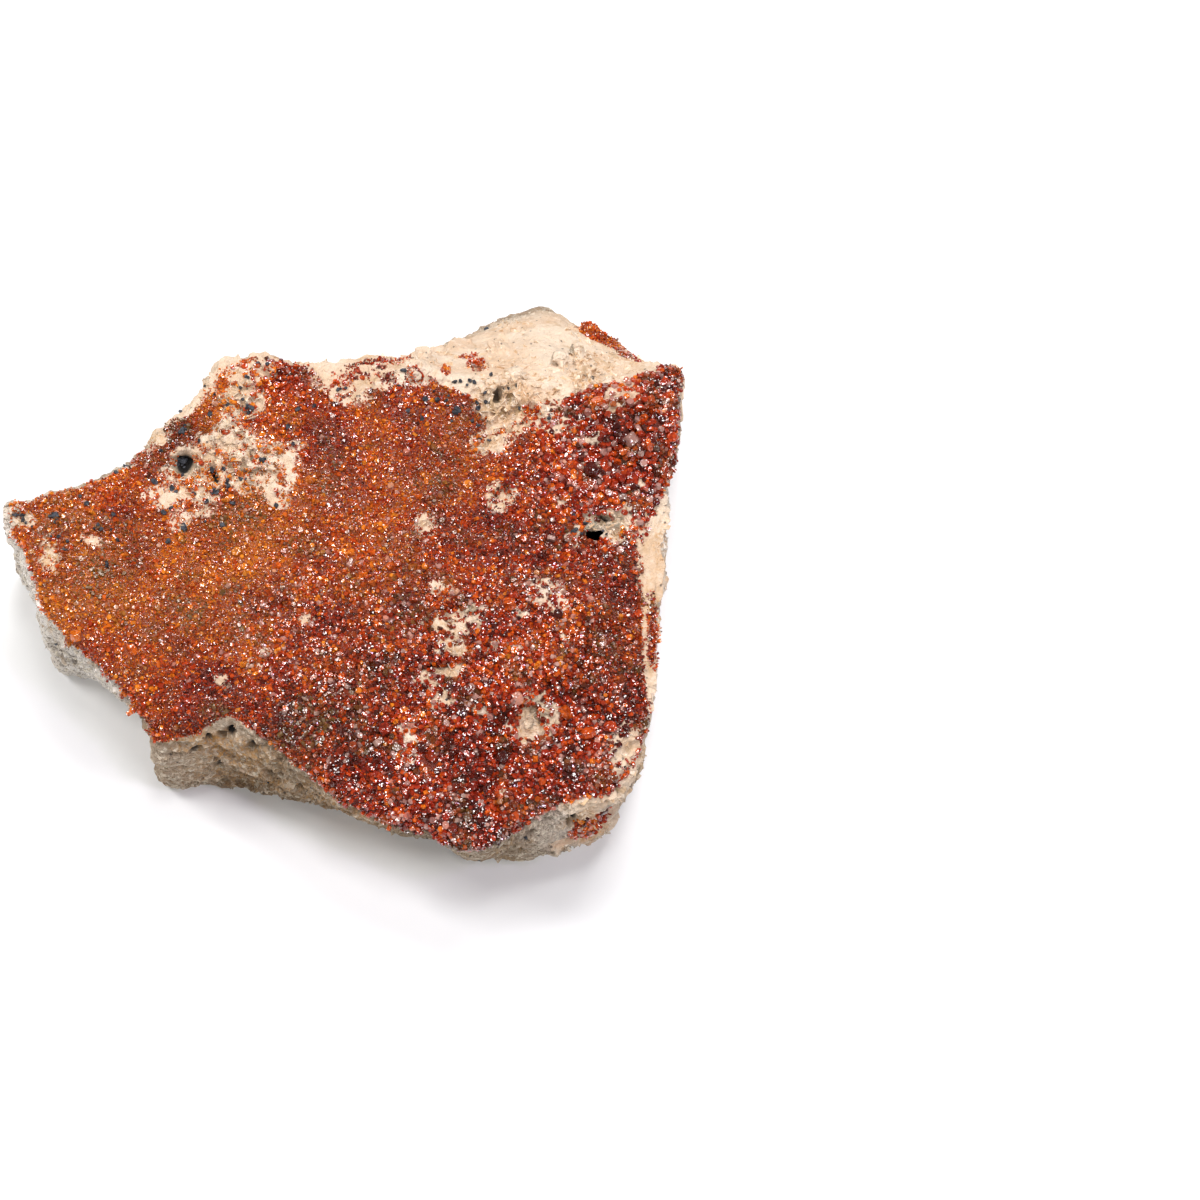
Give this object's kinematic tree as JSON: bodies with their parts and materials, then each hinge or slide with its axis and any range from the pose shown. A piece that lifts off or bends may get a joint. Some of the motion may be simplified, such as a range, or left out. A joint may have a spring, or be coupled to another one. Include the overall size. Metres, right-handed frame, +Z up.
{
  "type": "vanadinite on matrix",
  "caption": "Mineral specimen: a crust of small orange to dark red vanadinite crystals over one face of a slab of pale, porous barite matrix",
  "frame": {"origin": "under the middle of the specimen's bounding box, on the surface that it lies on", "axes": "+X to the right along the crystal face, as it is seen with its blunt tip at the left; +Y from the thick front wall to the long pale slope at the back; +Z up, out of the crystal face"},
  "size_m": [0.0772, 0.0738, 0.024],
  "materials": {
    "matrix": "rough, porous, pale cream to grey barite with ochre stains",
    "vanadinite": "bright, resinous crystal faces, orange to dark red",
    "dark_grains": "dull blue-black grains"
  },
  "bodies": {
    "root": {"matrix": "matrix", "vanadinite_druse": "vanadinite", "right_side_druse": "vanadinite", "front_corner_druse": "vanadinite", "back_edge_druse": "vanadinite"}
  },
  "joints": []
}
